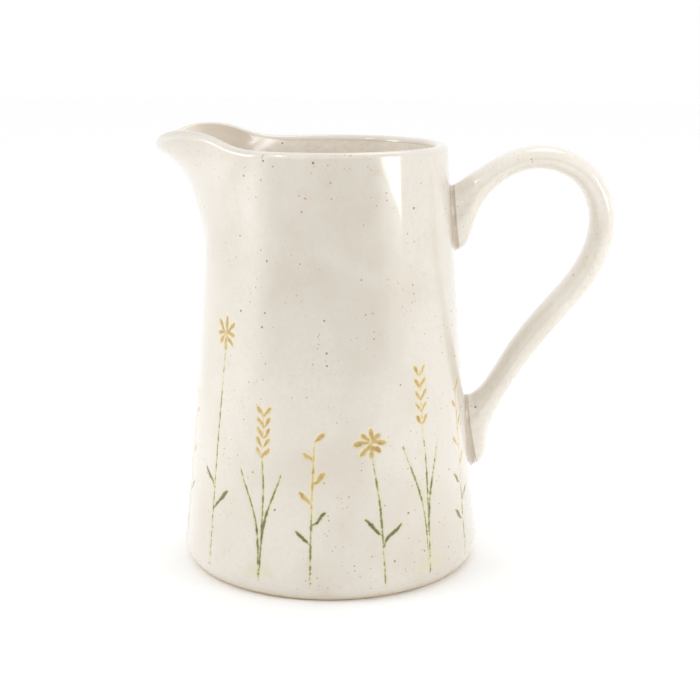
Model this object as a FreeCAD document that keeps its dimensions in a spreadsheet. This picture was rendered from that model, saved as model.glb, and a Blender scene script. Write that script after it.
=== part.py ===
import FreeCAD, Part
import Sketcher
import math
import os
from FreeCAD import Vector

# A hand-built stoneware pitcher: a tapering wall slab with a pulled spout stands on a base slab,
# and a pulled strap handle is luted on opposite the spout with a bead of slip round each root.
# A coat of glaze covers everything except the dry foot ring.
#
# Frame: +Z up, the origin in the middle of the foot, the spout along -X, the handle near +X.

SIZES = {
    # body
    "body_height": 190.0,      # foot to the level part of the lip
    "rim_radius": 52.2,        # outside, at the lip
    "shoulder_radius": 68.1,   # outside, where the wall meets the base
    "shoulder_height": 10.3,   # height of that joint
    "foot_radius": 61.6,       # outer edge of the foot ring
    "foot_round": 4.6,         # the round from the foot into the heel
    "foot_width": 6.0,
    "foot_recess": 1.5,        # the underside stands clear of the table by this much
    "floor_level": 7.5,        # top of the base slab, inside
    "wall_thickness": 5.0,     # with its glaze on both sides
    "waist": 0.6,              # how far the wall draws in half-way up
    "glaze": 0.4,
    "dry_edge": 2.2,           # the glaze stops this far above the table
    # spout
    "spout_reach": 28.0,       # how far the lip is pulled out of the cone
    "throat_height": 144.5,    # where the pull begins
    "throat_share": 0.485,     # part of the pull that grows evenly with height
    "curl_power": 5.3,         # the rest grows with this power, so the lip curls over
    "lip_spread": 0.35,        # angular half-width of the pull at the lip, radians
    "throat_spread": 0.16,     # and low down, where it is pinched
    "throat_blend": 0.12,      # how softly the pull begins, as a share of its height
    "pull_fall": 1.5,          # how fast the pull fades sideways
    "cheek_rise": 7.2,         # the lip rises beside the spout
    "cheek_angle": 25.0,       # degrees from the spout to the highest point of each cheek
    "cheek_width": 11.2,       # degrees
    "cheek_gap": 4.0,          # degrees by which the cheeks' bulge is kept smooth at the tip
    "pour_dip": 1.3,           # the lip dips again where it pours
    "pour_width": 9.0,         # degrees
    # handle
    "strap_width": 17.0,
    "strap_square": 2.3,       # power of the section's outline: 2 is an ellipse, more is squarer
    "handle_turn": 5.5,        # degrees off the line through the spout
    "bead": 1.7,               # size of the slip bead round a root
    "bead_foot": 2.04,         # the bead spreads this far where it lies on the wall
    "bead_end": -0.3,          # and sinks into the strap where it runs out
}

ROWS_AROUND = 72               # points round the wall, closer together at the spout
ROWS_UP = 22                   # levels up the wall, closer together at the lip
ROWS_STRAP = 24                # points round the strap
SPOUT_CROWDING = 0.45          # how much closer the points lie at the spout
LIP_CROWDING = 1.35            # and the levels at the lip

# The strap from its upper root to its lower one: centre x and z, the lean of its section
# (degrees from +X towards +Z, along the thickness) and half its thickness.
STRAP = (
    (53.3, 155.8, 96.0, 13.6),
    (59.2, 158.8, 98.0, 13.7),
    (62.1, 163.3, 99.5, 11.2),
    (65.2, 168.7, 102.0, 8.0),
    (70.2, 174.1, 108.0, 5.7),
    (77.6, 179.5, 118.0, 4.9),
    (93.7, 183.8, 90.0, 4.8),
    (114.1, 175.3, 46.0, 5.1),
    (121.9, 155.8, 0.0, 5.2),
    (114.3, 130.8, -26.0, 5.4),
    (100.3, 113.4, -39.5, 5.4),
    (85.7, 94.4, -39.5, 5.2),
    (76.9, 80.2, -40.0, 5.0),
    (72.2, 72.2, -58.0, 6.4),
    (69.4, 66.4, -69.5, 9.6),
    (67.6, 61.4, -73.0, 13.6),
    (65.1, 58.8, -76.0, 15.7),
    (60.5, 57.8, -84.5, 16.2),
)

# Where each slip bead starts in the wall, leaves it and runs out, as places along STRAP.
UPPER_BEAD = (0.0, 0.31, 0.62)
LOWER_BEAD = (17.0, 16.3, 15.93)

os.makedirs("parts", exist_ok=True)
doc = FreeCAD.newDocument("pitcher")
sheet = doc.addObject("Spreadsheet::Sheet", "Sizes")
for line, (name, value) in enumerate(SIZES.items(), start=1):
    sheet.set("A%d" % line, name)
    sheet.set("B%d" % line, str(value))
    sheet.setAlias("B%d" % line, name)
doc.recompute()

height = sheet.body_height
thickness = sheet.wall_thickness
clay_half = thickness / 2 - sheet.glaze
full_half = thickness / 2
cove = sheet.shoulder_height - sheet.floor_level   # radius of the inside corner


# ---------------------------------------------------------------- surfaces

def closed_row(points):
    """A smooth closed curve through the points, with the same knots for every row of a grid."""
    curve = Part.BSplineCurve()
    marks = [i / len(points) for i in range(len(points) + 1)]
    curve.interpolate(Points=points, Parameters=marks, PeriodicFlag=True)
    return curve


def open_row(points, marks):
    """A smooth open curve that meets each point at its mark, from 0 to 1."""
    curve = Part.BSplineCurve()
    curve.interpolate(Points=list(points), Parameters=marks)
    return curve


def strip_face(rows):
    """A face through closed rows of points: periodic along each row, smooth across them.

    Two rows give a ruled face. Strips that share a row share that edge exactly.
    """
    curves = [closed_row(row) for row in rows]
    columns = list(zip(*[curve.getPoles() for curve in curves]))
    first = curves[0]
    if len(rows) == 2:
        poles, knots, mults, degree = columns, [0.0, 1.0], [2, 2], 1
    else:
        middles = [sum(row, Vector()) * (1 / len(row)) for row in rows]
        far = [(a[0] - b[0]).Length + (m - n).Length
               for a, b, m, n in zip(rows, rows[1:], middles, middles[1:])]
        marks = [sum(far[:i]) / sum(far) for i in range(len(rows))]
        across = [open_row(column, marks) for column in columns]
        poles = [curve.getPoles() for curve in across]
        knots, mults, degree = across[0].getKnots(), across[0].getMultiplicities(), 3
    surface = Part.BSplineSurface()
    surface.buildFromPolesMultsKnots(poles, first.getMultiplicities(), mults,
                                     first.getKnots(), knots, True, False, 3, degree)
    return surface.toShape()


def cap_face(row):
    """The flat face inside a closed row of points that lie in one plane."""
    return Part.Face(Part.Wire(closed_row(row).toShape()))


def solid_of(faces):
    """Sew the faces into one closed solid with its normals outward."""
    shell = Part.makeCompound(faces)
    shell.sewShape(1e-3)
    solid = Part.makeSolid(shell.Shells[0])
    if solid.Volume < 0:
        solid.reverse()
    return solid


# ---------------------------------------------------------------- wall and spout

def cone_radius(z):
    """Outside radius of the wall away from the spout."""
    s = (z - sheet.shoulder_height) / (height - sheet.shoulder_height)
    straight = sheet.shoulder_radius + (sheet.rim_radius - sheet.shoulder_radius) * s
    return straight - 4 * sheet.waist * s * (1 - s)


def lip_rise(phi):
    """Lift of the lip at an angle phi from the spout: two cheeks and a pouring dip."""
    away = math.degrees(math.hypot(phi, math.radians(sheet.cheek_gap)))
    cheek = math.exp(-0.5 * ((away - sheet.cheek_angle) / sheet.cheek_width) ** 2)
    dip = math.exp(-(math.degrees(phi) / sheet.pour_width) ** 2)
    return sheet.cheek_rise * cheek - sheet.pour_dip * dip


def spout_pull(phi, z):
    """How far the wall is drawn out of the cone."""
    level = (z - sheet.throat_height) / (height - sheet.throat_height)
    level = 0.5 * (level + math.hypot(level, sheet.throat_blend))
    low = min(max(1 - level, 0.0), 1.0)
    spread = sheet.lip_spread + (sheet.throat_spread - sheet.lip_spread) * low
    curl = sheet.throat_share * level + (1 - sheet.throat_share) * level ** sheet.curl_power
    return sheet.spout_reach * curl / math.cosh(phi / spread) ** sheet.pull_fall


def middle(phi, rise):
    """Middle of the wall's thickness: phi from the spout, rise 0 at the base, 1 at the lip."""
    top = height - full_half + lip_rise(phi)
    z = sheet.shoulder_height + (top - sheet.shoulder_height) * rise
    radius = cone_radius(z) - full_half + spout_pull(phi, z)
    return Vector(-radius * math.cos(phi), -radius * math.sin(phi), z)


def directions(phi, rise):
    """Outward normal of the wall and the direction up it; the normal is level at the base."""
    tiny = 1e-4
    round_it = middle(phi + tiny, rise) - middle(phi - tiny, rise)
    up_it = middle(phi, rise + tiny) - middle(phi, rise - tiny)
    out = round_it.cross(up_it)
    if out.dot(Vector(-math.cos(phi), -math.sin(phi), 0)) < 0:
        out = out * -1
    out.normalize()
    out = Vector(out.x, out.y, out.z * min(1.0, 4 * rise))
    out.normalize()
    up = up_it - out * up_it.dot(out)
    up.normalize()
    return out, up


def angles_around():
    """Angles from the spout of the points round the wall, closer together at the spout."""
    for i in range(ROWS_AROUND):
        even = 2 * math.pi * i / ROWS_AROUND - math.pi
        yield even - SPOUT_CROWDING * math.sin(even)


PHIS = list(angles_around())
RISES = [1 - (1 - i / (ROWS_UP - 1)) ** LIP_CROWDING for i in range(ROWS_UP)]


def wall_rows(offset):
    """Rows from base to lip, at an offset from the middle of the wall."""
    return [[middle(phi, rise) + directions(phi, rise)[0] * offset for phi in PHIS]
            for rise in RISES]


def lip_rows(radius, start, end, steps):
    """Rows over the round of the lip: 0 degrees is outside, 90 the crest, 180 inside."""
    rows = []
    for i in range(steps + 1):
        turn = math.radians(start + (end - start) * i / steps)
        row = []
        for phi in PHIS:
            out, up = directions(phi, 1.0)
            row.append(middle(phi, 1.0) + out * (radius * math.cos(turn))
                       + up * (radius * math.sin(turn)))
        rows.append(row)
    return rows


def make_wall():
    """The clay wall with its spout and round lip, open at both ends."""
    outside, inside = wall_rows(clay_half), wall_rows(-clay_half)
    return solid_of([strip_face(outside),
                     strip_face(lip_rows(clay_half, 0, 180, 8)),
                     strip_face(inside),
                     strip_face([outside[0], inside[0]])])


def level_circle(radius, z):
    return [Vector(-radius * math.cos(phi), -radius * math.sin(phi), z) for phi in PHIS]


def heel_radius(edge):
    """Radius of the heel's arc, upright at the joint and tangent to the foot's own round."""
    span, drop = edge - sheet.foot_radius, sheet.shoulder_height - sheet.foot_round
    return (span ** 2 + drop ** 2 - sheet.foot_round ** 2) / (2 * (span - sheet.foot_round))


def heel_rows(edge):
    """Rows down the outside of the base, from the joint of this radius to the glaze's edge."""
    heel = heel_radius(edge)
    rows = []
    for i in range(1, 6):
        z = sheet.shoulder_height + (sheet.dry_edge - sheet.shoulder_height) * i / 5
        down = sheet.shoulder_height - z
        rows.append(level_circle(edge - heel + math.sqrt(heel ** 2 - down ** 2), z))
    return rows


def cove_rows(radius):
    """Rows down the inside corner, from the joint to the floor."""
    centre = sheet.shoulder_radius - thickness + sheet.glaze - cove
    turns = [math.radians(90 * i / 4) for i in range(1, 5)]
    return [level_circle(centre + radius * math.cos(turn),
                         sheet.shoulder_height - radius * math.sin(turn)) for turn in turns]


def make_outer_coat():
    """The glaze outside: from the dry edge over the heel and up the wall to the lip's crest."""
    faces, foot, crest = [], [], []
    for offset in (clay_half, full_half):
        up_wall = wall_rows(offset)
        down_heel = heel_rows(sheet.shoulder_radius - full_half + offset)
        over_lip = lip_rows(offset, 0, 90, 4)
        faces += [strip_face(up_wall), strip_face([up_wall[0]] + down_heel), strip_face(over_lip)]
        foot.append(down_heel[-1])
        crest.append(over_lip[-1])
    return solid_of(faces + [strip_face(foot), strip_face(crest)])


def make_inner_coat():
    """The glaze inside: from the lip's crest down the wall, the cove and the floor."""
    faces, crest = [], []
    for offset, radius in ((clay_half, cove), (full_half, cove - sheet.glaze)):
        up_wall = wall_rows(-offset)
        down_cove = cove_rows(radius)
        over_lip = lip_rows(offset, 180, 90, 4)
        faces += [strip_face(up_wall), strip_face([up_wall[0]] + down_cove),
                  strip_face(over_lip), cap_face(down_cove[-1])]
        crest.append(over_lip[-1])
    return solid_of(faces + [strip_face(crest)])


# ---------------------------------------------------------------- strap handle

def squared(share):
    """A cosine or sine drawn out so that the oval it makes has fuller corners."""
    return math.copysign(abs(share) ** (2 / sheet.strap_square), share)


def strap_section(place, grow):
    """The strap's squarish oval section at a place along STRAP, whole or part way, grown."""
    first = min(int(place), len(STRAP) - 2)
    part = place - first
    x, z, lean, half = [a + (b - a) * part for a, b in zip(STRAP[first], STRAP[first + 1])]
    lean = math.radians(lean)
    thick = Vector(math.cos(lean), 0, math.sin(lean)) * (half + grow)
    wide = Vector(0, sheet.strap_width / 2 + grow, 0)
    turns = [2 * math.pi * i / ROWS_STRAP for i in range(ROWS_STRAP)]
    return [Vector(x, 0, z) + thick * squared(math.cos(turn)) + wide * squared(math.sin(turn))
            for turn in turns]


def make_strap(grow):
    """The whole strap, with both ends buried in the wall."""
    rows = [strap_section(place, grow) for place in range(len(STRAP))]
    return solid_of([strip_face(rows), cap_face(rows[0]), cap_face(rows[-1])])


def make_bead(places):
    """A collar round a root: full size in the wall, gone where it has run out on the strap."""
    rows = [strap_section(place, grow) for place, grow in
            zip(places, (sheet.bead_foot, sheet.bead, sheet.bead_end))]
    return solid_of([strip_face(rows[:2]), strip_face(rows[1:]),
                     cap_face(rows[0]), cap_face(rows[-1])])


# ---------------------------------------------------------------- base

def make_base():
    """The base slab, turned in one piece: foot ring, round heel, wall seat, cove and floor."""
    body = doc.addObject("PartDesign::Body", "base")
    sketch = body.newObject("Sketcher::SketchObject", "base_profile")
    for feature in body.Origin.OriginFeatures:
        if feature.Role == "XZ_Plane":
            sketch.AttachmentSupport = [(feature, "")]
    sketch.MapMode = "FlatFace"
    doc.recompute()

    seat = sheet.shoulder_radius - sheet.glaze
    top, floor, recess = sheet.shoulder_height, sheet.floor_level, sheet.foot_recess
    foot, ring = sheet.foot_radius, sheet.foot_radius - sheet.foot_width
    inside = sheet.shoulder_radius - thickness + sheet.glaze
    heel = heel_radius(seat)
    lean = math.acos((heel - (seat - foot)) / (heel - sheet.foot_round))

    def segment(x1, z1, x2, z2):
        return Part.LineSegment(Vector(x1, z1, 0), Vector(x2, z2, 0))

    def arc(x, z, radius, start, end):
        return Part.ArcOfCircle(Part.Circle(Vector(x, z, 0), Vector(0, 0, 1), radius), start, end)

    under = sketch.addGeometry(segment(0, recess, ring - recess, recess), False)
    step = sketch.addGeometry(segment(ring - recess, recess, ring, 0), False)
    sole = sketch.addGeometry(segment(ring, 0, foot, 0), False)
    foot_arc = sketch.addGeometry(arc(foot, sheet.foot_round, sheet.foot_round,
                                      -math.pi / 2, -lean), False)
    heel_arc = sketch.addGeometry(arc(seat - heel, top, heel, -lean, 0), False)
    rim = sketch.addGeometry(segment(seat, top, inside, top), False)
    cove_arc = sketch.addGeometry(arc(inside - top + floor, top, top - floor,
                                      -math.pi / 2, 0), False)
    slab = sketch.addGeometry(segment(inside - top + floor, floor, 0, floor), False)
    axis = sketch.addGeometry(segment(0, floor, 0, recess), False)

    first, last, centre, origin, level, upright = 1, 2, 3, -1, -1, -2
    for rule in (("Coincident", under, last, step, first), ("Coincident", step, last, sole, first),
                 ("Tangent", sole, last, foot_arc, first),
                 ("Tangent", foot_arc, last, heel_arc, first),
                 ("Coincident", heel_arc, last, rim, first),
                 ("Coincident", rim, last, cove_arc, last),
                 ("Tangent", cove_arc, first, slab, first),
                 ("Coincident", slab, last, axis, first), ("Coincident", axis, last, under, first),
                 ("Horizontal", under), ("Horizontal", rim), ("Vertical", axis),
                 ("PointOnObject", sole, first, level), ("PointOnObject", sole, last, level),
                 ("PointOnObject", axis, first, upright),
                 ("Horizontal", heel_arc, centre, heel_arc, last),
                 ("Horizontal", cove_arc, centre, cove_arc, last)):
        sketch.addConstraint(Sketcher.Constraint(*rule))
    for name, rule, value, cell in (
            ("recess", ("DistanceY", origin, 1, under, first), recess, "foot_recess"),
            ("step", ("DistanceX", step, first, step, last), recess, "foot_recess"),
            ("ring", ("DistanceX", sole, first, sole, last), foot - ring, "foot_width"),
            ("foot", ("DistanceX", origin, 1, sole, last), foot, "foot_radius"),
            ("round", ("Radius", foot_arc), sheet.foot_round, "foot_round"),
            ("seat", ("DistanceX", origin, 1, heel_arc, last), seat, "shoulder_radius - Sizes.glaze"),
            ("joint", ("DistanceY", origin, 1, heel_arc, last), top, "shoulder_height"),
            ("rim", ("DistanceX", rim, last, rim, first), seat - inside,
             "wall_thickness - 2 * Sizes.glaze"),
            ("floor", ("DistanceY", origin, 1, slab, first), floor, "floor_level")):
        index = sketch.addConstraint(Sketcher.Constraint(*rule, value))
        sketch.renameConstraint(index, name)
        sketch.setExpression("Constraints." + name, "Sizes." + cell)
    doc.recompute()

    turned = body.newObject("PartDesign::Revolution", "base_turned")
    turned.Profile = sketch
    turned.ReferenceAxis = (sketch, ["V_Axis"])
    turned.Angle = 360
    body.Tip = turned
    return body


# ---------------------------------------------------------------- document

def feature(name, shape, turned=False):
    """A piece with a shape of its own; a turned one goes round to where the handle stands."""
    piece = doc.addObject("Part::Feature", name)
    piece.Shape = shape
    if turned:
        piece.Placement = FreeCAD.Placement(Vector(), FreeCAD.Rotation(Vector(0, 0, 1), 0))
        piece.setExpression("Placement.Rotation.Angle", "Sizes.handle_turn * 1 deg")
    return piece


def cut(name, base, tool):
    piece = doc.addObject("Part::Cut", name)
    piece.Base, piece.Tool = base, tool
    return piece


def fuse(name, *pieces):
    piece = doc.addObject("Part::MultiFuse", name)
    piece.Shapes = list(pieces)
    return piece


base = make_base()
wall = feature("wall", make_wall())
outer_coat = feature("outer_coat", make_outer_coat())
inner_glaze = feature("inner_glaze", make_inner_coat())

strap = feature("strap", make_strap(0), turned=True)
dipped_strap = feature("dipped_strap", make_strap(sheet.glaze), turned=True)
upper_bead = feature("upper_bead", make_bead(UPPER_BEAD), turned=True)
lower_bead = feature("lower_bead", make_bead(LOWER_BEAD), turned=True)

handle = cut("handle", strap, wall)
upper_joint = cut("upper_joint", cut("upper_collar", upper_bead, strap), wall)
lower_joint = cut("lower_joint", cut("lower_collar", lower_bead, strap), wall)
roots = fuse("roots", strap, upper_bead, lower_bead)
outer_glaze = cut("outer_glaze", outer_coat, roots)
handle_glaze = cut("handle_glaze", cut("dipped_sleeve", dipped_strap, roots),
                   fuse("coated_wall", wall, outer_coat))
doc.recompute()

NODES = (base, wall, handle, upper_joint, lower_joint, outer_glaze, inner_glaze, handle_glaze)
for piece in doc.Objects:
    if "Invalid" in piece.State or "Error" in piece.State:
        raise RuntimeError("%s did not recompute: %s" % (piece.Label, piece.State))
for piece in NODES:
    if piece.Shape.isNull() or not piece.Shape.isValid() or piece.Shape.Volume <= 0:
        raise RuntimeError("%s has no valid solid" % piece.Label)
for piece in NODES:
    piece.Shape.exportStep("parts/%s.step" % piece.Label)
    print("%-14s %9.0f mm3  %d solid(s)" % (piece.Label, piece.Shape.Volume,
                                            len(piece.Shape.Solids)))
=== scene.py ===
import math
import random

import bpy
import numpy as np
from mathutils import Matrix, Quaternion, Vector


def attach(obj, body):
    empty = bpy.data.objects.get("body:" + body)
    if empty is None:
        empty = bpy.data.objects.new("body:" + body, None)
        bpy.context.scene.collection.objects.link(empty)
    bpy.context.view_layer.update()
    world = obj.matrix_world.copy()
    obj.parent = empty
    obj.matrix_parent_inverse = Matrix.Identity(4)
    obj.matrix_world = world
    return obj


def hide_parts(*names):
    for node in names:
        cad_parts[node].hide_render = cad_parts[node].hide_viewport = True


# A hand-built stoneware pitcher with a pulled spout, a strap handle, cream glaze and pressed plants.
#
# The surfaces follow the same formulas as the CAD pieces, in millimetres, and are scaled to metres
# as each mesh is made. Angles round the body run from the spout (phi) or from the front (theta).

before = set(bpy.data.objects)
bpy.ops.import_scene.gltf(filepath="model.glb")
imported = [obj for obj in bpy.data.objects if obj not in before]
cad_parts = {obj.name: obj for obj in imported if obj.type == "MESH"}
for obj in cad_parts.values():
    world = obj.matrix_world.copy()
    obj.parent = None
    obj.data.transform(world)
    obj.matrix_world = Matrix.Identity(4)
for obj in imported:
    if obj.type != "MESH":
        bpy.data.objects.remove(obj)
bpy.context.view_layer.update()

MM = 0.001

# ---------------------------------------------------------------- sizes, in mm, as in the CAD model

HEIGHT, RIM_RADIUS, SHOULDER_RADIUS, SHOULDER_HEIGHT = 190.0, 52.2, 68.1, 10.3
FOOT_RADIUS, FOOT_ROUND, FOOT_WIDTH, FOOT_RECESS = 61.6, 4.6, 6.0, 1.5
FLOOR_LEVEL, HALF_WALL, WAIST, GLAZE, DRY_EDGE = 7.5, 2.5, 0.6, 0.4, 2.2
SPOUT_REACH, THROAT_HEIGHT, THROAT_SHARE, CURL_POWER = 28.0, 144.5, 0.485, 5.3
LIP_SPREAD, THROAT_SPREAD, PULL_FALL = 0.35, 0.16, 1.5
CHEEK_RISE, CHEEK_ANGLE, CHEEK_WIDTH, CHEEK_GAP = 7.2, 25.0, 11.2, 4.0
POUR_DIP, POUR_WIDTH, THROAT_BLEND, SPOUT_CROWDING = 1.3, 9.0, 0.12, 0.45
HALF_STRAP, HANDLE_TURN = 8.5, math.radians(5.5)
STRAP_SQUARE = 2.3               # power of the strap section's outline: 2 is an ellipse

# centre x and z, lean of the section, half its thickness
STRAP = np.array((
    (53.3, 155.8, 96.0, 13.6), (59.2, 158.8, 98.0, 13.7), (62.1, 163.3, 99.5, 11.2),
    (65.2, 168.7, 102.0, 8.0), (70.2, 174.1, 108.0, 5.7), (77.6, 179.5, 118.0, 4.9),
    (93.7, 183.8, 90.0, 4.8), (114.1, 175.3, 46.0, 5.1), (121.9, 155.8, 0.0, 5.2),
    (114.3, 130.8, -26.0, 5.4), (100.3, 113.4, -39.5, 5.4), (85.7, 94.4, -39.5, 5.2),
    (76.9, 80.2, -40.0, 5.0), (72.2, 72.2, -58.0, 6.4), (69.4, 66.4, -69.5, 9.6),
    (67.6, 61.4, -73.0, 13.6), (65.1, 58.8, -76.0, 15.7), (60.5, 57.8, -84.5, 16.2)))


# ---------------------------------------------------------------- camera, floor and light

def srgb(red, green, blue):
    """A screen colour, 0 to 255, as the linear colour that Blender works in."""
    channels = [c / 255 for c in (red, green, blue)]
    linear = [c / 12.92 if c <= 0.04045 else ((c + 0.055) / 1.055) ** 2.4 for c in channels]
    return (*linear, 1.0)


def make_camera():
    camera = bpy.data.objects.new("camera", bpy.data.cameras.new("camera"))
    bpy.context.scene.collection.objects.link(camera)
    camera.location = (0.0695, -0.6275, 0.2417)
    camera.rotation_euler = (math.radians(76.99), 0, math.radians(5.5))
    camera.data.lens, camera.data.sensor_width = 72.74, 36
    camera.data.clip_start = 0.01
    bpy.context.scene.camera = camera


def soft_box(name, place, aim, size, watts, roll=0):
    lamp = bpy.data.lights.new(name, "AREA")
    lamp.shape, lamp.size, lamp.size_y, lamp.energy = "RECTANGLE", *size, watts
    box = bpy.data.objects.new(name, lamp)
    bpy.context.scene.collection.objects.link(box)
    box.location = place
    facing = (Vector(aim) - box.location).to_track_quat("-Z", "Y")
    box.rotation_euler = (facing @ Quaternion((0, 0, 1), math.radians(roll))).to_euler()
    box.visible_camera = False
    return box


def make_studio():
    scene = bpy.context.scene
    scene.view_settings.view_transform = "Standard"
    world = bpy.data.worlds.new("studio")
    world.use_nodes = True
    background = world.node_tree.nodes["Background"]
    background.inputs["Color"].default_value = srgb(255, 255, 255)
    background.inputs["Strength"].default_value = 1.0
    scene.world = world

    reach = 4.0
    floor_mesh = bpy.data.meshes.new("floor")
    floor_mesh.from_pydata([(-reach, -reach, 0), (reach, -reach, 0), (reach, reach, 0),
                            (-reach, reach, 0)], [], [(0, 1, 2, 3)])
    floor = bpy.data.objects.new("floor", floor_mesh)
    scene.collection.objects.link(floor)
    paper = bpy.data.materials.new("pale_paper")
    paper.use_nodes = True
    shader = paper.node_tree.nodes["Principled BSDF"]
    shader.inputs["Base Color"].default_value = srgb(254, 254, 254)
    shader.inputs["Roughness"].default_value = 0.85
    floor_mesh.materials.append(paper)

    # a low dark flag behind the camera, unseen, that the front of the gloss mirrors
    bearings = [math.radians(-66 + 152 * k / 16) for k in range(17)]
    foot = [(1.1 * math.sin(t), -1.1 * math.cos(t), 0.02) for t in bearings]
    flag_mesh = bpy.data.meshes.new("flag")
    flag_mesh.from_pydata(foot + [(x, y, 0.26) for x, y, _ in foot], [],
                          [(k, k + 1, k + 18, k + 17) for k in range(16)])
    flag = bpy.data.objects.new("flag", flag_mesh)
    scene.collection.objects.link(flag)
    cloth = Shader("grey_cloth")
    across = cloth.node("ShaderNodeSeparateXYZ", {"Vector": cloth.place}).outputs["X"]
    ends = cloth.sum(cloth.step(across, -0.74, -1.02), cloth.step(across, 0.75, 1.08), "MAXIMUM")
    shade = cloth.blend(ends, srgb(70, 68, 66), srgb(250, 250, 250))
    flag_mesh.materials.append(cloth.finish(shade, Roughness=1.0))
    flag.visible_camera = False


# ---------------------------------------------------------------- surfaces

def cone_radius(z):
    s = (z - SHOULDER_HEIGHT) / (HEIGHT - SHOULDER_HEIGHT)
    return SHOULDER_RADIUS + (RIM_RADIUS - SHOULDER_RADIUS) * s - 4 * WAIST * s * (1 - s)


def lip_rise(phi):
    away = np.degrees(np.hypot(phi, math.radians(CHEEK_GAP)))
    cheek = np.exp(-0.5 * ((away - CHEEK_ANGLE) / CHEEK_WIDTH) ** 2)
    return CHEEK_RISE * cheek - POUR_DIP * np.exp(-(np.degrees(phi) / POUR_WIDTH) ** 2)


def spout_pull(phi, z):
    level = (z - THROAT_HEIGHT) / (HEIGHT - THROAT_HEIGHT)
    level = 0.5 * (level + np.hypot(level, THROAT_BLEND))
    low = np.clip(1 - level, 0, 1)
    spread = LIP_SPREAD + (THROAT_SPREAD - LIP_SPREAD) * low
    curl = THROAT_SHARE * level + (1 - THROAT_SHARE) * level ** CURL_POWER
    return SPOUT_REACH * curl / np.cosh(phi / spread) ** PULL_FALL


def middle(phi, rise):
    """Middle of the wall: phi from the spout, rise 0 at the base, 1 at the lip."""
    z = SHOULDER_HEIGHT + (HEIGHT - HALF_WALL + lip_rise(phi) - SHOULDER_HEIGHT) * rise
    radius = cone_radius(z) - HALF_WALL + spout_pull(phi, z)
    return np.stack([-radius * np.cos(phi), -radius * np.sin(phi), z], -1)


def unit(v):
    return v / np.linalg.norm(v, axis=-1, keepdims=True)


def directions(phi, rise):
    """Out of the wall and up it."""
    tiny = 1e-4
    round_it = middle(phi + tiny, rise) - middle(phi - tiny, rise)
    up_it = middle(phi, rise + tiny) - middle(phi, rise - tiny)
    out = unit(np.cross(up_it, round_it))
    flip = np.sign(-out[..., 0] * np.cos(phi) - out[..., 1] * np.sin(phi))
    out = out * flip[..., None]
    out[..., 2] *= np.minimum(1.0, 4 * rise)
    out = unit(out)
    up = unit(up_it - out * np.sum(up_it * out, -1, keepdims=True))
    return out, up


def wall_point(phi, rise, turn):
    """A point and its normal on the wall: turn 0 is outside, 90 the crest, 180 inside."""
    out, up = directions(phi, rise)
    cosine, sine = np.cos(turn)[..., None], np.sin(turn)[..., None]
    normal = out * cosine + up * sine
    return middle(phi, rise) + normal * HALF_WALL, normal


def turned_point(phi, radius, z, normal_out, normal_up):
    """A point and its normal on a turned profile."""
    radius, z, normal_out, normal_up = (value + 0 * phi for value in
                                        (radius, z, normal_out, normal_up))
    place = np.stack([-radius * np.cos(phi), -radius * np.sin(phi), z], -1)
    normal = np.stack([-normal_out * np.cos(phi), -normal_out * np.sin(phi), normal_up], -1)
    return place, normal


def heel(z, edge):
    """Radius and slope of the heel: one arc, upright at the joint, tangent to the foot's round."""
    span, drop = edge - FOOT_RADIUS, SHOULDER_HEIGHT - FOOT_ROUND
    radius = (span ** 2 + drop ** 2 - FOOT_ROUND ** 2) / (2 * (span - FOOT_ROUND))
    down = SHOULDER_HEIGHT - z
    across = np.sqrt(radius ** 2 - down ** 2)
    return edge - radius + across, across / radius, -down / radius


# ---------------------------------------------------------------- plants pressed into the clay

OCHRE, GREEN, WASH = 0, 1, 2
NO_INK = -4.0
PRESSED = 0.14                   # depth of the plants in the clay, mm
LUMPS = random.Random(7)


def stroke(ink, width, *points):
    """A brushed line: it swells and thins a little, and is thin at both ends."""
    last = len(points) - 1
    return [(ink, [(x, z, width * (0.5 if k in (0, last) else LUMPS.uniform(0.8, 1.25)))
                   for k, (x, z) in enumerate(points)])]


def drop(ink, x, z, heading, length, width):
    """A bud or leaf: thin where it grows, fullest past its middle, with a blunt tip."""
    dx, dz = math.cos(math.radians(heading)), math.sin(math.radians(heading))
    bow = 0.12 * length * LUMPS.uniform(-1, 1)
    return [(ink, [(x, z, 0.35 * width), (x + 0.35 * length * dx - bow * dz,
                                          z + 0.35 * length * dz + bow * dx, 0.7 * width),
                   (x + 0.75 * length * dx, z + 0.75 * length * dz, width),
                   (x + length * dx, z + length * dz, 0.6 * width)])]


def floret(ink, x, z, length, width, *headings):
    """Several drops out of one place."""
    return [mark for turn in headings
            for mark in drop(ink, x, z, turn, length * LUMPS.uniform(0.8, 1.2), width)]


def leafy_stem(tall):
    """A swaying stem, green low down and ochre above, with leaves on alternate sides."""
    sway = LUMPS.uniform(-5, 5)

    def on_stem(share):
        return sway * share ** 2, tall * share

    marks = []
    for ink, first in ((GREEN, 0.0), (OCHRE, 0.5)):
        marks += stroke(ink, 1.2, *(on_stem(first + part) for part in (0, 0.17, 0.34, 0.5)))
    leaves = int(tall / 8)
    for leaf in range(2, leaves + 1):
        share = leaf / leaves
        ink = OCHRE if share > 0.5 else GREEN
        marks += drop(ink, *on_stem(share), 90 + 48 * (-1) ** leaf, 10 - 5 * share, 2.2)
    return marks


def daisy(tall):
    """A thin stem with a round head of petals, and two leaves low down."""
    sway = LUMPS.uniform(-8, 8)
    marks = stroke(GREEN, 1.2, (0, 0), (0.25 * sway, tall / 2), (sway, tall - 4))
    marks += drop(GREEN, 0.1 * sway, tall / 4, 48, 13, 2.4)
    marks += drop(GREEN, 0.12 * sway, tall / 3, 132, 11, 2.2)
    return marks + floret(OCHRE, sway, tall, 6.5, 2.4, *range(0, 360, 45))


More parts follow.
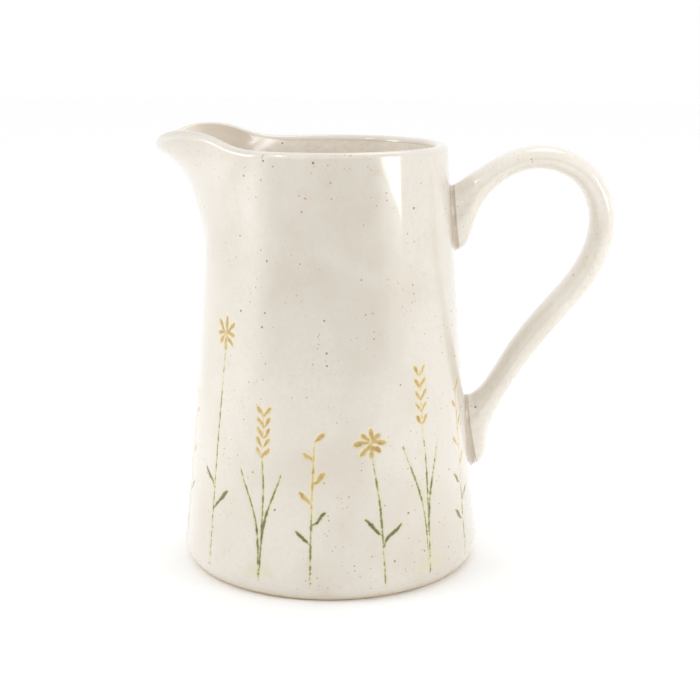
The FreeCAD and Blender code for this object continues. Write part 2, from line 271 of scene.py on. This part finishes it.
def grass(tall):
    """Three blades, the middle one with an ear of paired seeds."""
    marks = stroke(WASH, 5.0, (-6, 3), (0, 6), (6, 3))
    for lean in (-11, 9):
        marks += stroke(GREEN, 1.3, (0, 0), (0.2 * lean, 0.35 * tall), (lean, 0.65 * tall))
    marks += stroke(GREEN, 1.1, (0, 0), (1, tall / 2), (0, 0.72 * tall))
    marks += stroke(OCHRE, 1.0, (0, 0.72 * tall), (0, tall))
    for pair in range(5):
        for side in (-1, 1):
            marks += drop(OCHRE, 0, tall * (0.74 + 0.06 * pair), 90 + 35 * side, 5, 1.9)
    return marks


PLANTS = 15
SOIL = 8.0                       # height of the plants' feet
HANDLE_BEARING = 95.5            # degrees from the front
UNDER_HANDLE, LOW_PLANT = 20, 38  # within so many degrees of the handle the plants stay this low


def planted():
    """Every mark on the body: its ink, and degrees from the front, height and width along it."""
    marks = []
    for k in range(PLANTS):
        theta = 360 * (k + LUMPS.uniform(-0.15, 0.15)) / PLANTS
        tall = LUMPS.uniform(55, 105)
        if abs(theta - HANDLE_BEARING) < UNDER_HANDLE:
            tall = LOW_PLANT
        for ink, points in (leafy_stem, daisy, grass)[k % 3](tall):
            marks.append((ink, [(theta + math.degrees(x / cone_radius(SOIL + z)), SOIL + z, width)
                                for x, z, width in points]))
    return marks


def smooth_path(points):
    """Bearing, height and width along a smooth line through the points."""
    points = np.array(points, float)
    if len(points) == 2:
        points = np.insert(points, 1, points.mean(0), 0)
    steps = np.linspace(0, len(points) - 1, 5 * (len(points) - 1) + 1)
    first = np.minimum(steps.astype(int), len(points) - 2)
    part = (steps - first)[:, None]
    padded = np.vstack([2 * points[0] - points[1], points, 2 * points[-1] - points[-2]])
    a, b, c, d = (padded[first + k] for k in range(4))
    return 0.5 * (2 * b + (c - a) * part + (2 * a - 5 * b + 4 * c - d) * part ** 2
                  + (3 * b - a - 3 * c + d) * part ** 3)


def ink_field(theta, z):
    """How deep each point lies inside the nearest stroke of each ink, in mm, below 0 outside."""
    depth = np.full((3, len(theta)), NO_INK)
    for ink, points in MARKS:
        path = smooth_path(points)
        half = path[:, 2] / 2
        wrapped = path[:, 0].mean() + (theta - path[:, 0].mean() + 180) % 360 - 180
        mm_per_degree = math.radians(1) * cone_radius(path[:, 1].mean())
        reach = half.max() - NO_INK
        near = ((wrapped > path[:, 0].min() - reach) & (wrapped < path[:, 0].max() + reach)
                & (z > path[:, 1].min() - reach) & (z < path[:, 1].max() + reach))
        if not near.any():
            continue
        x, y = wrapped[near] * mm_per_degree, z[near]
        best = depth[ink, near]
        px, py = path[:, 0] * mm_per_degree, path[:, 1]
        for k in range(len(path) - 1):
            ex, ey = px[k + 1] - px[k], py[k + 1] - py[k]
            along = np.clip(((x - px[k]) * ex + (y - py[k]) * ey) / (ex * ex + ey * ey + 1e-9), 0, 1)
            far = np.hypot(x - px[k] - along * ex, y - py[k] - along * ey)
            best = np.maximum(best, half[k] + (half[k + 1] - half[k]) * along - far)
        depth[ink, near] = best
    return depth


def smoothstep(low, high, value):
    t = np.clip((value - low) / (high - low), 0, 1)
    return t * t * (3 - 2 * t)


def groove(theta, z):
    """How deep the plants are pressed in, in mm."""
    inks = ink_field(theta, z)
    return PRESSED * smoothstep(-0.8, 0.6, np.maximum(inks[OCHRE], inks[GREEN]))


MARKS = planted()


# ---------------------------------------------------------------- materials

class Shader:
    """A node material round one Principled shader."""

    def __init__(self, name):
        self.material = bpy.data.materials.new(name)
        self.material.use_nodes = True
        self.tree = self.material.node_tree
        self.principled = self.tree.nodes["Principled BSDF"]
        self.place = self.tree.nodes.new("ShaderNodeTexCoord").outputs["Object"]

    def node(self, kind, inputs=(), **settings):
        node = self.tree.nodes.new(kind)
        for name, value in settings.items():
            setattr(node, name, value)
        for name, value in dict(inputs).items():
            if isinstance(value, bpy.types.NodeSocket):
                self.tree.links.new(value, node.inputs[name])
            else:
                node.inputs[name].default_value = value
        return node

    def noise(self, size_mm, detail=2.0, distortion=0.0):
        return self.node("ShaderNodeTexNoise", {
            "Vector": self.place, "Scale": 1 / (size_mm * MM), "Detail": detail,
            "Distortion": distortion}).outputs["Fac"]

    def step(self, value, low, high, start=0.0, end=1.0):
        """Smoothly from start to end as value goes from low to high."""
        return self.node("ShaderNodeMapRange", {
            "Value": value, "From Min": low, "From Max": high, "To Min": start, "To Max": end},
            interpolation_type="SMOOTHSTEP").outputs["Result"]

    def sum(self, a, b, kind="ADD"):
        return self.node("ShaderNodeMath", {0: a, 1: b}, operation=kind).outputs[0]

    def blend(self, amount, a, b, kind="MIX"):
        node = self.node("ShaderNodeMix", data_type="RGBA", blend_type=kind)
        for index, value in ((0, amount), (6, a), (7, b)):
            if isinstance(value, bpy.types.NodeSocket):
                self.tree.links.new(value, node.inputs[index])
            else:
                node.inputs[index].default_value = value
        return node.outputs[2]

    def spots(self, spacing_mm, radius_mm, share, soft=0.5):
        """Scattered round spots, in a share of the cells of a loose grid."""
        cells = self.node("ShaderNodeTexVoronoi", {
            "Vector": self.place, "Scale": 1 / (spacing_mm * MM), "Randomness": 1.0})
        chance = self.node("ShaderNodeSeparateColor", {"Color": cells.outputs["Color"]})
        edge = radius_mm / spacing_mm
        size = self.step(chance.outputs["Green"], 0.0, 1.0, 0.5, 1.5)
        far = self.sum(cells.outputs["Distance"], size, "DIVIDE")
        inside = self.step(far, edge * (1 - soft), edge, 1.0, 0.0)
        chosen = self.sum(chance.outputs["Red"], 1 - share, "GREATER_THAN")
        return self.sum(inside, chosen, "MULTIPLY")

    def attribute(self, name):
        return self.node("ShaderNodeAttribute", attribute_name=name).outputs["Fac"]

    def bump(self, height, distance_mm, under=None):
        inputs = {"Height": height, "Distance": distance_mm * MM, "Strength": 1.0}
        if under is not None:
            inputs["Normal"] = under
        return self.node("ShaderNodeBump", inputs).outputs["Normal"]

    def finish(self, colour, roughness=None, normal=None, **constants):
        for name, value in (("Base Color", colour), ("Roughness", roughness), ("Normal", normal)):
            if value is not None:
                self.tree.links.new(value, self.principled.inputs[name])
        for name, value in constants.items():
            self.principled.inputs[name.replace("_", " ")].default_value = value
        return self.material


def glaze_material(name, light, warm, speck_share=1.0, painted=False, darker_spout_and_soft_coat=False):
    """Cream gloss over a speckled clay: pools of warmer colour, iron specks, painted plants."""
    s = Shader(name)
    pools = s.step(s.noise(38, 3, 0.4), 0.35, 0.7)
    colour = s.blend(pools, light, warm)
    mottle = s.step(s.noise(2.2, 3), 0.3, 0.75)
    colour = s.blend(s.sum(mottle, 0.25, "MULTIPLY"), colour, srgb(212, 199, 180))

    if darker_spout_and_soft_coat:
        # darker towards the spout's inside
        along = s.node("ShaderNodeSeparateXYZ", {"Vector": s.place}).outputs["X"]
        curl = s.step(along, -22 * MM, -46 * MM)
        colour = s.blend(curl, colour, srgb(199, 185, 166))

    patches = s.step(s.noise(26, 2, 0.6), 0.44, 0.60, 0.12, 1.0)
    halo = s.spots(6.5, 1.6, 0.4 * speck_share, 0.9)
    colour = s.blend(s.sum(s.sum(halo, patches, "MULTIPLY"), 0.25, "MULTIPLY"), colour,
                     srgb(216, 182, 142))
    faint = s.spots(1.9, 0.30, 0.8 * speck_share, 0.8)
    colour = s.blend(s.sum(s.sum(faint, patches, "MULTIPLY"), 0.6, "MULTIPLY"), colour,
                     srgb(202, 164, 110))
    rust = s.spots(3.1, 0.38, 0.55 * speck_share, 0.55)
    colour = s.blend(s.sum(s.sum(rust, patches, "MULTIPLY"), 0.9, "MULTIPLY"), colour,
                     srgb(198, 138, 62))
    peppery = s.spots(2.5, 0.30, 0.6 * speck_share, 0.5)
    colour = s.blend(s.sum(s.sum(peppery, patches, "MULTIPLY"), 0.9, "MULTIPLY"), colour,
                     srgb(174, 118, 50))
    iron = s.spots(5.2, 0.48, 0.5 * speck_share, 0.5)
    colour = s.blend(s.sum(iron, 0.85, "MULTIPLY"), colour, srgb(148, 94, 34))

    if painted:
        ragged = s.sum(s.step(s.noise(1.3, 3), 0.2, 0.8, -0.2, 0.2),
                       s.step(s.noise(3.6, 2), 0.25, 0.75, -0.25, 0.25))
        blots = s.step(s.noise(3.5, 3), 0.35, 0.7)
        wash = s.sum(s.attribute("wash"), ragged)
        colour = s.blend(s.step(wash, -3.0, 2.4, 0.0, 0.45), colour, srgb(208, 206, 166))
        for ink, thin, halo, edge, core, dark in (
                ("ochre", 0.0, srgb(226, 214, 168), srgb(214, 196, 134), srgb(196, 162, 90),
                 srgb(166, 128, 56)),
                ("green", 0.14, srgb(208, 206, 152), srgb(140, 138, 62), srgb(74, 74, 8),
                 srgb(40, 42, 4))):
            depth = s.sum(s.sum(s.attribute(ink), ragged), thin, "SUBTRACT")
            colour = s.blend(s.step(depth, -1.5, 0.1, 0.0, 0.38), colour, halo)
            body = s.blend(s.step(depth, 0.05, 0.6), edge, s.blend(blots, core, dark))
            colour = s.blend(s.step(depth, -0.2, 0.25, 0.0, 0.92), colour, body)

    waves = s.bump(s.noise(16, 2), 0.28)
    normal = s.bump(s.noise(3.0, 2), 0.045, waves)
    roughness = s.step(s.noise(7, 2), 0.3, 0.7, 0.16, 0.26)
    return s.finish(colour, roughness, normal, Coat_Weight=1.0,
                    Coat_Roughness=0.22 if darker_spout_and_soft_coat else 0.05, Coat_IOR=1.5, IOR=1.5)


def stoneware_material():
    """Bare fired clay: buff, a little sandy, with iron specks, and painted lighter at its lowest
    edge against the shade where it meets the floor.
    """
    s = Shader("bare_stoneware")
    colour = s.blend(s.step(s.noise(4, 4, 0.3), 0.2, 0.8), srgb(224, 210, 186),
                     srgb(212, 196, 170))
    height = s.node("ShaderNodeSeparateXYZ", {"Vector": s.place}).outputs["Z"]
    # painted light: lighter over the lowest 1.2 mm, against the contact shade at the floor
    colour = s.blend(s.step(height, 1.2 * MM, 0.1 * MM, 0.0, 0.6), colour, srgb(226, 214, 194))
    colour = s.blend(s.sum(s.spots(1.6, 0.3, 0.5, 0.6), 0.5, "MULTIPLY"), colour,
                     srgb(150, 120, 90))
    colour = s.blend(s.sum(s.spots(6, 0.6, 0.4, 0.6), 0.7, "MULTIPLY"), colour,
                     srgb(112, 80, 54))
    sand = s.bump(s.noise(0.5, 3), 0.12)
    normal = s.bump(s.noise(4, 3), 0.25, sand)
    roughness = s.step(s.noise(3, 2), 0.3, 0.7, 0.78, 0.92)
    return s.finish(colour, roughness, normal, Specular_IOR_Level=0.3)


# ---------------------------------------------------------------- pieces

def make_piece(name, points, normals, faces, material, nodes, attributes=()):
    """A mesh in metres with its own normals, riding on the frame in place of its CAD nodes."""
    first, second, third = (points[[face[k] for face in faces]] for k in range(3))
    outward = normals[[face[0] for face in faces]]
    if np.sum(np.cross(second - first, third - first) * outward) < 0:
        faces = [face[::-1] for face in faces]
    mesh = bpy.data.meshes.new(name)
    mesh.from_pydata((points * MM).tolist(), [], faces)
    mesh.polygons.foreach_set("use_smooth", [True] * len(mesh.polygons))
    for label, values in dict(attributes).items():
        mesh.attributes.new(label, "FLOAT", "POINT").data.foreach_set(
            "value", values.astype(np.float32))
    mesh.normals_split_custom_set_from_vertices(unit(normals).tolist())
    mesh.materials.append(material)
    piece = bpy.data.objects.new(name, mesh)
    bpy.context.scene.collection.objects.link(piece)
    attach(piece, "root")
    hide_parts(*nodes)
    return piece


def grid_faces(rows, columns):
    """Quads of a grid that closes round on itself, row by row."""
    faces = []
    for r in range(rows - 1):
        for c in range(columns):
            d = (c + 1) % columns
            faces.append((r * columns + c, r * columns + d, (r + 1) * columns + d,
                          (r + 1) * columns + c))
    return faces


FINE = 4                         # a cell near a plant is divided this many times each way
COLUMNS = 256
EDGE_ROWS, HEEL_ROWS, WALL_ROWS, LIP_ROWS = 2, 6, 112, 14


def angle_at(column):
    """Angle from the spout of a column, closer together at the spout."""
    even = 2 * math.pi * column / COLUMNS - math.pi
    return even - SPOUT_CROWDING * np.sin(even)


def outside_point(column, row):
    """A point, its normal, and its bearing from the front, on the glaze outside."""
    phi = angle_at(column)
    round_edge = np.clip(1 - row / EDGE_ROWS, 0, 1) * math.pi / 2
    down = np.clip(1 - (row - EDGE_ROWS) / HEEL_ROWS, 0, 1)
    rise = np.clip((row - EDGE_ROWS - HEEL_ROWS) / WALL_ROWS, 0, 1)
    over = np.clip((row - EDGE_ROWS - HEEL_ROWS - WALL_ROWS) / LIP_ROWS, 0, 1) * math.pi
    on_wall, wall_normal = wall_point(phi, rise, over)

    z = SHOULDER_HEIGHT + (DRY_EDGE + GLAZE - SHOULDER_HEIGHT) * down
    radius, leans_out, leans_up = heel(z, SHOULDER_RADIUS)
    sink, tuck = GLAZE * (1 - np.cos(round_edge)), GLAZE * np.sin(round_edge)
    radius = radius - sink * leans_out + tuck * leans_up
    z = z - sink * leans_up - tuck * leans_out
    normal_out = leans_out * np.cos(round_edge) + leans_up * np.sin(round_edge)
    normal_up = leans_up * np.cos(round_edge) - leans_out * np.sin(round_edge)
    on_heel, heel_normal = turned_point(phi, radius, z, normal_out, normal_up)
    low = (down > 0)[..., None]
    theta = np.degrees(phi) - 90
    return np.where(low, on_heel, on_wall), np.where(low, heel_normal, wall_normal), theta


def make_outside(material):
    """Glaze outside, from its rolled edge over the heel and the lip; finer along the plants."""
    rows = EDGE_ROWS + HEEL_ROWS + WALL_ROWS + LIP_ROWS
    c, r = np.meshgrid(np.arange(COLUMNS) + 0.5, np.arange(rows) + 0.5, indexing="ij")
    centre, _, theta = outside_point(c.ravel(), r.ravel())
    inks = ink_field(theta, centre[:, 2])
    near = np.maximum(inks[OCHRE], inks[GREEN]) > -1.5
    fine = near.reshape(c.shape) & (r > EDGE_ROWS + 2) & (r < rows - LIP_ROWS)

    index, lattice, faces = {}, [], []

    def vertex(column, row):
        key = (column % (COLUMNS * FINE), row)
        if key not in index:
            index[key] = len(lattice)
            lattice.append(key)
        return index[key]

    for i in range(COLUMNS):
        for j in range(rows):
            x, y = i * FINE, j * FINE
            if fine[i, j]:
                faces += [(vertex(x + a, y + b), vertex(x + a + 1, y + b),
                           vertex(x + a + 1, y + b + 1), vertex(x + a, y + b + 1))
                          for a in range(FINE) for b in range(FINE)]
                continue
            loop = []
            for side, dx, dy, sx, sy in ((fine[i, j - 1] if j else False, 0, 0, 1, 0),
                                         (fine[(i + 1) % COLUMNS, j], FINE, 0, 0, 1),
                                         (fine[i, j + 1] if j + 1 < rows else False,
                                          FINE, FINE, -1, 0),
                                         (fine[i - 1, j], 0, FINE, 0, -1)):
                for k in range(FINE if side else 1):
                    loop.append(vertex(x + dx + sx * k, y + dy + sy * k))
            if len(loop) == 4:
                faces.append(tuple(loop))
            else:
                hub = vertex(x + FINE // 2, y + FINE // 2)
                faces += [(hub, a, b) for a, b in zip(loop, loop[1:] + loop[:1])]

    lattice = np.array(lattice) / FINE
    points, normals, theta = outside_point(lattice[:, 0], lattice[:, 1])
    z = points[:, 2]
    on_wall = (lattice[:, 1] > EDGE_ROWS + HEEL_ROWS * 0.5) & (lattice[:, 1] < rows - LIP_ROWS)
    inks = np.where(on_wall, ink_field(theta, z), NO_INK)
    depth = np.where(on_wall, groove(theta, z), 0)
    step = 0.15
    turn = np.degrees(step / cone_radius(z))
    slope_x = (groove(theta + turn, z) - groove(theta - turn, z)) / (2 * step) * on_wall
    slope_z = (groove(theta, z + step) - groove(theta, z - step)) / (2 * step) * on_wall
    phi = np.radians(theta + 90)
    round_it = np.stack([np.sin(phi), -np.cos(phi), 0 * phi], -1)
    up_it = unit(np.cross(round_it, normals))
    up_it *= np.sign(up_it[:, 2:] + 1e-9)
    points = points - normals * depth[:, None]
    normals = normals + round_it * slope_x[:, None] + up_it * slope_z[:, None]
    make_piece("glazed_outside", points, normals, faces, material,
               ("outer_glaze", "wall"),
               {"ochre": inks[OCHRE], "green": inks[GREEN], "wash": inks[WASH]})


def make_inside(material):
    """Glaze inside: down the wall from the lip, round the cove and over the floor."""
    columns, down, corner, ways = 224, 72, 8, 12
    phi = angle_at(np.arange(columns) * COLUMNS / columns)
    rows = [wall_point(phi, np.full(columns, 1 - k / down), np.full(columns, math.pi))
            for k in range(down + 1)]
    centre = SHOULDER_RADIUS - 2 * HALF_WALL + GLAZE - (SHOULDER_HEIGHT - FLOOR_LEVEL)
    radius = SHOULDER_HEIGHT - FLOOR_LEVEL - GLAZE
    for k in range(1, corner + 1):
        turn = math.pi / 2 * k / corner
        rows.append(turned_point(phi, centre + radius * math.cos(turn),
                                 SHOULDER_HEIGHT - radius * math.sin(turn),
                                 -math.cos(turn), math.sin(turn)))
    for k in range(1, ways):
        rows.append(turned_point(phi, centre * (1 - k / ways), FLOOR_LEVEL + GLAZE, 0, 1))
    points = np.vstack([place for place, _ in rows] + [[0, 0, FLOOR_LEVEL + GLAZE]])
    normals = np.vstack([normal for _, normal in rows] + [[0, 0, 1]])
    faces = grid_faces(len(rows), columns)
    last, hub = (len(rows) - 1) * columns, len(points) - 1
    faces += [(last + c, last + (c + 1) % columns, hub) for c in range(columns)]
    make_piece("glazed_inside", points, normals, faces, material,
               ("inner_glaze",))


def make_foot(material):
    """Bare clay under the glaze's edge: foot round, foot ring and the recessed underside."""
    columns, soft = 224, 0.6
    phi = angle_at(np.arange(columns) * COLUMNS / columns)
    profile = []
    for z in (5.4, 4.6, 3.8, 3.0, 2.4):
        radius, out, up = heel(z, SHOULDER_RADIUS - GLAZE)
        profile.append((radius, z, out, up))
    start = math.asin((FOOT_ROUND - 2.0) / FOOT_ROUND)
    for k in range(9):
        turn = start + (math.pi / 2 - start) * k / 8
        profile.append((FOOT_RADIUS + FOOT_ROUND * math.cos(turn),
                        FOOT_ROUND * (1 - math.sin(turn)), math.cos(turn), -math.sin(turn)))
    ring_edge = FOOT_RADIUS - FOOT_WIDTH
    for radius in (FOOT_RADIUS - 2, ring_edge + 2, ring_edge + soft):
        profile.append((radius, 0, 0, -1))
    for k in range(1, 5):
        turn = math.pi / 4 * k / 4
        profile.append((ring_edge + soft - soft * math.sin(turn), soft * (1 - math.cos(turn)),
                        -math.sin(turn), -math.cos(turn)))
    for radius in (ring_edge - FOOT_RECESS, ring_edge - FOOT_RECESS - soft):
        profile.append((radius, FOOT_RECESS, -0.2, -1))
    for k in range(1, 12):
        profile.append(((ring_edge - FOOT_RECESS - soft) * (1 - k / 12), FOOT_RECESS, 0, -1))
    rows = [turned_point(phi, *station) for station in profile]
    points = np.vstack([place for place, _ in rows] + [[0, 0, FOOT_RECESS]])
    normals = np.vstack([n for _, n in rows] + [[0, 0, -1]])
    faces = grid_faces(len(rows), columns)
    last, hub = (len(rows) - 1) * columns, len(points) - 1
    faces += [(last + c, last + (c + 1) % columns, hub) for c in range(columns)]
    make_piece("dry_foot", points, normals, faces, material, ("base",))


# ---------------------------------------------------------------- strap handle

def spline(marks, values, at):
    """A natural cubic spline through the values at the marks."""
    n = len(marks)
    gap = np.diff(marks)
    rules, right = np.eye(n), np.zeros((n, values.shape[1]))
    for k in range(1, n - 1):
        rules[k, k - 1:k + 2] = gap[k - 1], 2 * (gap[k - 1] + gap[k]), gap[k]
        right[k] = 6 * ((values[k + 1] - values[k]) / gap[k]
                        - (values[k] - values[k - 1]) / gap[k - 1])
    bend = np.linalg.solve(rules, right)
    k = np.clip(np.searchsorted(marks, at) - 1, 0, n - 2)
    a, b = ((marks[k + 1] - at) / gap[k])[:, None], ((at - marks[k]) / gap[k])[:, None]
    return (a * values[k] + b * values[k + 1]
            + ((a ** 3 - a) * bend[k] + (b ** 3 - b) * bend[k + 1]) * (gap[k] ** 2)[:, None] / 6)


STRAP_MARKS = np.concatenate([[0], np.cumsum(np.hypot(*np.diff(STRAP[:, :2], axis=0).T))])


def squared(share):
    """A cosine or sine drawn out so that the oval it makes has fuller corners."""
    return np.sign(share) * np.abs(share) ** (2 / STRAP_SQUARE)


def strap_point(along, turn):
    """A point on the glazed strap, along in mm from its upper end, turn round its section."""
    x, z, lean, half = spline(STRAP_MARKS, STRAP, along).T
    lean = np.radians(lean)
    thick = (half + GLAZE) * squared(np.cos(turn))
    wide = (HALF_STRAP + GLAZE) * squared(np.sin(turn))
    x, z = x + thick * np.cos(lean), z + thick * np.sin(lean)
    cosine, sine = math.cos(HANDLE_TURN), math.sin(HANDLE_TURN)
    return np.stack([x * cosine - wide * sine, x * sine + wide * cosine, z], -1)


def strap_normal(along, turn):
    tiny = 1e-3
    normal = np.cross(strap_point(along + tiny, turn) - strap_point(along - tiny, turn),
                      strap_point(along, turn + tiny) - strap_point(along, turn - tiny))
    inward = spline(STRAP_MARKS, STRAP, along)
    cosine, sine = math.cos(HANDLE_TURN), math.sin(HANDLE_TURN)
    centre = np.stack([inward[:, 0] * cosine, inward[:, 0] * sine, inward[:, 1]], -1)
    flip = np.sign(np.sum(normal * (strap_point(along, turn) - centre), -1, keepdims=True))
    return unit(normal * flip)


def make_handle(material):
    rows, columns = 200, 72
    length = STRAP_MARKS[-1]
    along = np.repeat(np.linspace(0.01, length - 0.01, rows), columns)
    turn = np.tile(np.arange(columns) * 2 * math.pi / columns, rows)
    make_piece("glazed_handle", strap_point(along, turn), strap_normal(along, turn),
               grid_faces(rows, columns), material,
               ("handle", "handle_glaze"))


def outside_wall(points):
    """How far points stand out of the wall's glaze."""
    return np.hypot(points[:, 0], points[:, 1]) - cone_radius(points[:, 2])


def onto_wall(points):
    """The points moved level onto the wall's glaze."""
    scale = cone_radius(points[:, 2]) / np.hypot(points[:, 0], points[:, 1])
    return points * np.stack([scale, scale, np.ones(len(points))], -1)


def make_bead(name, node, start, inward, size, material):
    """A concave fillet of slip between the strap and the wall, closed behind."""
    columns, steps = 72, 10
    turn = np.arange(columns) * 2 * math.pi / columns
    near, far = np.full(columns, float(start)), np.full(columns, start + inward * 45.0)
    for _ in range(40):
        half = (near + far) / 2
        out = outside_wall(strap_point(half, turn)) > 0
        far, near = np.where(out, half, far), np.where(out, near, half)
    corner = strap_point(far, turn)
    normal = strap_normal(far, turn)
    wall_out = unit(corner * np.array([1, 1, 0]))
    aside = unit(normal - wall_out * np.sum(normal * wall_out, -1, keepdims=True))
    on_wall = onto_wall(corner + aside * size)
    on_strap = strap_point(far + inward * size, turn)
    rows, normals = [], []
    for k in range(steps + 1):
        t = k / steps
        rows.append((1 - t) ** 2 * on_wall + 2 * t * (1 - t) * corner + t ** 2 * on_strap)
        tangent = (1 - t) * (corner - on_wall) + t * (on_strap - corner)
        across = np.roll(rows[-1], -1, 0) - np.roll(rows[-1], 1, 0)
        side = np.cross(tangent, across)
        side *= np.sign(np.sum(side * (normal + wall_out), -1, keepdims=True))
        normals.append(unit(side))
    sunk = corner - 0.4 * (normal + wall_out)
    rows.append(sunk)
    normals.append(-unit(normal + wall_out))
    points, normals = np.vstack(rows), np.vstack(normals)
    count = len(rows)
    faces = grid_faces(count, columns)
    faces += [((count - 1) * columns + c, (count - 1) * columns + (c + 1) % columns,
               (c + 1) % columns, c) for c in range(columns)]
    make_piece(name, points, normals, faces, material, (node,))


# ---------------------------------------------------------------- the pitcher

make_camera()
make_studio()

cream = glaze_material("cream_glaze", srgb(220, 214, 204), srgb(211, 204, 191), painted=True)
# the handle's cream is the body's glaze painted lighter: painted light and sheen standing in for
# what its curved faces catch
handle_cream_painted_lighter = glaze_material("handle_glaze", srgb(233, 227, 216), srgb(225, 218, 205), 0.7)
# the joint fillets are darker: partly pooled glaze, partly painted shade in the corner where strap
# meets wall
joint_pooled_glaze_and_shade = glaze_material("joint_glaze_pooled_and_painted_shade", srgb(190, 176, 157), srgb(182, 167, 147), 0.5)
# the inside is the outside's cream painted lighter: painted light standing in for light falling into
# the opening
liner_painted_lighter = glaze_material("liner_glaze", srgb(250, 243, 233), srgb(245, 236, 222), 0.8,
                       darker_spout_and_soft_coat=True)

make_outside(cream)
make_inside(liner_painted_lighter)
make_foot(stoneware_material())
make_handle(handle_cream_painted_lighter)
make_bead("upper_joint_bead", "upper_joint", 0.0, 1, 2.2, joint_pooled_glaze_and_shade)
make_bead("lower_joint_bead", "lower_joint", STRAP_MARKS[-1], -1, 2.2, joint_pooled_glaze_and_shade)

soft_box("left_box", (-1.0, -0.32, 0.41), (0, 0, 0.15), (0.30, 0.5), 2.3)
soft_box("right_box", (0.91, -0.43, 0.292), (0, 0, 0.17), (0.38, 0.20), 1.4, roll=-12)
soft_box("upper_left_box", (-0.62, -0.55, 0.95), (0.08, 0, 0.12), (0.12, 0.12), 0.7)
soft_box("upper_right_box", (1.07, -0.53, 0.61), (0.08, 0, 0.12), (0.12, 0.12), 0.6)
soft_box("top_box", (0.25, 0.35, 1.1), (0, 0, 0.1), (0.5, 0.5), 1.4)
